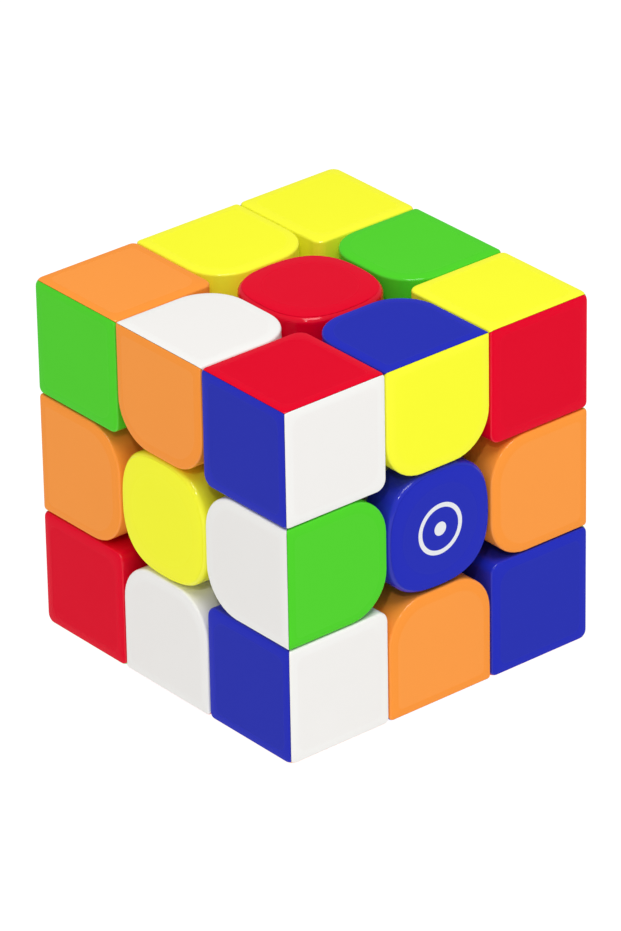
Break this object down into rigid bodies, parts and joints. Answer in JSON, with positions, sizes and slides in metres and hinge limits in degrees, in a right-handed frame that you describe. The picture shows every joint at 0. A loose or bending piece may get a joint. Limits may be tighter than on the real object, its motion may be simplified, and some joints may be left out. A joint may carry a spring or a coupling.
{
  "type": "twisty puzzle cube",
  "caption": "Stickerless three-layer twisty puzzle cube with round centre caps, rounded edge pieces, a screw-and-spring core and layers that turn on all six faces.",
  "frame": {"origin": "centre of the core, where the six turning axes meet, which is the centre of the cube", "axes": "+Z out of the up face, -Y out of the front face, +X out of the right face"},
  "size_m": [0.056, 0.056, 0.056],
  "materials": {
    "yellow_plastic": "fine frosted tile face with glossy rolled edges",
    "white_plastic": "fine frosted tile face with glossy rolled edges",
    "red_plastic": "fine frosted tile face with glossy rolled edges",
    "orange_plastic": "fine frosted tile face with glossy rolled edges",
    "blue_plastic": "fine frosted tile face with glossy rolled edges",
    "green_plastic": "fine frosted tile face with glossy rolled edges",
    "foot_plastic": "smooth moulded, polished by sliding",
    "core_plastic": "satin moulded nylon",
    "steel": "bright zinc plated"
  },
  "bodies": {
    "core": {"core": "core_plastic", "screw_up": "steel", "spring_up": "steel", "washer_up": "steel", "screw_down": "steel", "spring_down": "steel", "washer_down": "steel", "screw_front": "steel", "spring_front": "steel", "washer_front": "steel", "screw_back": "steel", "spring_back": "steel", "washer_back": "steel", "screw_left": "steel", "spring_left": "steel", "washer_left": "steel", "screw_right": "steel", "spring_right": "steel", "washer_right": "steel"},
    "centre_up": {"centre_base_up": "foot_plastic", "centre_cap_up": "red_plastic"},
    "centre_down": {"centre_base_down": "foot_plastic", "centre_cap_down": "orange_plastic"},
    "centre_front": {"centre_base_front": "foot_plastic", "centre_cap_front": "yellow_plastic"},
    "centre_back": {"centre_base_back": "foot_plastic", "centre_cap_back": "white_plastic"},
    "centre_left": {"centre_base_left": "foot_plastic", "centre_cap_left": "green_plastic"},
    "centre_right": {"centre_base_right": "foot_plastic", "centre_cap_right": "blue_plastic"},
    "edge_up_front": {"edge_up_front": "white_plastic"},
    "edge_up_back": {"edge_up_back": "green_plastic"},
    "edge_up_left": {"edge_up_left": "yellow_plastic"},
    "edge_up_right": {"edge_up_right": "blue_plastic"},
    "edge_front_left": {"edge_front_left": "orange_plastic"},
    "edge_front_right": {"edge_front_right": "white_plastic"},
    "edge_back_left": {"edge_back_left": "green_plastic"},
    "edge_back_right": {"edge_back_right": "green_plastic"},
    "edge_down_front": {"edge_down_front": "red_plastic"},
    "edge_down_back": {"edge_down_back": "white_plastic"},
    "edge_down_left": {"edge_down_left": "blue_plastic"},
    "edge_down_right": {"edge_down_right": "blue_plastic"},
    "corner_up_front_left": {"corner_shell_up_front_left": "orange_plastic", "corner_foot_up_front_left": "foot_plastic"},
    "corner_up_front_right": {"corner_shell_up_front_right": "red_plastic", "corner_foot_up_front_right": "foot_plastic"},
    "corner_up_back_left": {"corner_shell_up_back_left": "yellow_plastic", "corner_foot_up_back_left": "foot_plastic"},
    "corner_up_back_right": {"corner_shell_up_back_right": "yellow_plastic", "corner_foot_up_back_right": "foot_plastic"},
    "corner_down_front_left": {"corner_shell_down_front_left": "green_plastic", "corner_foot_down_front_left": "foot_plastic"},
    "corner_down_front_right": {"corner_shell_down_front_right": "orange_plastic", "corner_foot_down_front_right": "foot_plastic"},
    "corner_down_back_left": {"corner_shell_down_back_left": "orange_plastic", "corner_foot_down_back_left": "foot_plastic"},
    "corner_down_back_right": {"corner_shell_down_back_right": "red_plastic", "corner_foot_down_back_right": "foot_plastic"}
  },
  "joints": [
    {"name": "up_turn", "type": "hinge", "parent": "core", "child": "centre_up", "pos_m": [0, 0, 0], "axis": [0, 0, 1], "continuous": true},
    {"name": "down_turn", "type": "hinge", "parent": "core", "child": "centre_down", "pos_m": [0, 0, 0], "axis": [0, 0, 1], "continuous": true},
    {"name": "front_turn", "type": "hinge", "parent": "core", "child": "centre_front", "pos_m": [0, 0, 0], "axis": [0, 1, 0], "continuous": true},
    {"name": "back_turn", "type": "hinge", "parent": "core", "child": "centre_back", "pos_m": [0, 0, 0], "axis": [0, 1, 0], "continuous": true},
    {"name": "left_turn", "type": "hinge", "parent": "core", "child": "centre_left", "pos_m": [0, 0, 0], "axis": [1, 0, 0], "continuous": true},
    {"name": "right_turn", "type": "hinge", "parent": "core", "child": "centre_right", "pos_m": [0, 0, 0], "axis": [1, 0, 0], "continuous": true},
    {"name": "edge_up_front_turn", "type": "hinge", "parent": "centre_up", "child": "edge_up_front", "pos_m": [0, 0, 0], "axis": [0, 1, 0], "continuous": true},
    {"name": "edge_up_back_turn", "type": "hinge", "parent": "centre_up", "child": "edge_up_back", "pos_m": [0, 0, 0], "axis": [0, 1, 0], "continuous": true},
    {"name": "edge_up_left_turn", "type": "hinge", "parent": "centre_left", "child": "edge_up_left", "pos_m": [0, 0, 0], "axis": [0, 0, 1], "continuous": true},
    {"name": "edge_up_right_turn", "type": "hinge", "parent": "centre_right", "child": "edge_up_right", "pos_m": [0, 0, 0], "axis": [0, 0, 1], "continuous": true},
    {"name": "edge_front_left_turn", "type": "hinge", "parent": "centre_front", "child": "edge_front_left", "pos_m": [0, 0, 0], "axis": [1, 0, 0], "continuous": true},
    {"name": "edge_front_right_turn", "type": "hinge", "parent": "centre_front", "child": "edge_front_right", "pos_m": [0, 0, 0], "axis": [1, 0, 0], "continuous": true},
    {"name": "edge_back_left_turn", "type": "hinge", "parent": "centre_back", "child": "edge_back_left", "pos_m": [0, 0, 0], "axis": [1, 0, 0], "continuous": true},
    {"name": "edge_back_right_turn", "type": "hinge", "parent": "centre_back", "child": "edge_back_right", "pos_m": [0, 0, 0], "axis": [1, 0, 0], "continuous": true},
    {"name": "edge_down_front_turn", "type": "hinge", "parent": "centre_down", "child": "edge_down_front", "pos_m": [0, 0, 0], "axis": [0, 1, 0], "continuous": true},
    {"name": "edge_down_back_turn", "type": "hinge", "parent": "centre_down", "child": "edge_down_back", "pos_m": [0, 0, 0], "axis": [0, 1, 0], "continuous": true},
    {"name": "edge_down_left_turn", "type": "hinge", "parent": "centre_left", "child": "edge_down_left", "pos_m": [0, 0, 0], "axis": [0, 0, 1], "continuous": true},
    {"name": "edge_down_right_turn", "type": "hinge", "parent": "centre_right", "child": "edge_down_right", "pos_m": [0, 0, 0], "axis": [0, 0, 1], "continuous": true},
    {"name": "corner_up_front_left_turn", "type": "hinge", "parent": "edge_up_front", "child": "corner_up_front_left", "pos_m": [0, 0, 0], "axis": [1, 0, 0], "continuous": true},
    {"name": "corner_up_front_right_turn", "type": "hinge", "parent": "edge_up_front", "child": "corner_up_front_right", "pos_m": [0, 0, 0], "axis": [1, 0, 0], "continuous": true},
    {"name": "corner_up_back_left_turn", "type": "hinge", "parent": "edge_up_back", "child": "corner_up_back_left", "pos_m": [0, 0, 0], "axis": [1, 0, 0], "continuous": true},
    {"name": "corner_up_back_right_turn", "type": "hinge", "parent": "edge_up_back", "child": "corner_up_back_right", "pos_m": [0, 0, 0], "axis": [1, 0, 0], "continuous": true},
    {"name": "corner_down_front_left_turn", "type": "hinge", "parent": "edge_down_front", "child": "corner_down_front_left", "pos_m": [0, 0, 0], "axis": [1, 0, 0], "continuous": true},
    {"name": "corner_down_front_right_turn", "type": "hinge", "parent": "edge_down_front", "child": "corner_down_front_right", "pos_m": [0, 0, 0], "axis": [1, 0, 0], "continuous": true},
    {"name": "corner_down_back_left_turn", "type": "hinge", "parent": "edge_down_back", "child": "corner_down_back_left", "pos_m": [0, 0, 0], "axis": [1, 0, 0], "continuous": true},
    {"name": "corner_down_back_right_turn", "type": "hinge", "parent": "edge_down_back", "child": "corner_down_back_right", "pos_m": [0, 0, 0], "axis": [1, 0, 0], "continuous": true}
  ],
  "couplings": [
    {"joint": "edge_up_front_turn", "follows": "front_turn", "ratio": 1},
    {"joint": "edge_up_back_turn", "follows": "back_turn", "ratio": 1},
    {"joint": "edge_up_left_turn", "follows": "up_turn", "ratio": 1},
    {"joint": "edge_up_right_turn", "follows": "up_turn", "ratio": 1},
    {"joint": "edge_front_left_turn", "follows": "left_turn", "ratio": 1},
    {"joint": "edge_front_right_turn", "follows": "right_turn", "ratio": 1},
    {"joint": "edge_back_left_turn", "follows": "left_turn", "ratio": 1},
    {"joint": "edge_back_right_turn", "follows": "right_turn", "ratio": 1},
    {"joint": "edge_down_front_turn", "follows": "front_turn", "ratio": 1},
    {"joint": "edge_down_back_turn", "follows": "back_turn", "ratio": 1},
    {"joint": "edge_down_left_turn", "follows": "down_turn", "ratio": 1},
    {"joint": "edge_down_right_turn", "follows": "down_turn", "ratio": 1},
    {"joint": "corner_up_front_left_turn", "follows": "left_turn", "ratio": 1},
    {"joint": "corner_up_front_right_turn", "follows": "right_turn", "ratio": 1},
    {"joint": "corner_up_back_left_turn", "follows": "left_turn", "ratio": 1},
    {"joint": "corner_up_back_right_turn", "follows": "right_turn", "ratio": 1},
    {"joint": "corner_down_front_left_turn", "follows": "left_turn", "ratio": 1},
    {"joint": "corner_down_front_right_turn", "follows": "right_turn", "ratio": 1},
    {"joint": "corner_down_back_left_turn", "follows": "left_turn", "ratio": 1},
    {"joint": "corner_down_back_right_turn", "follows": "right_turn", "ratio": 1}
  ]
}
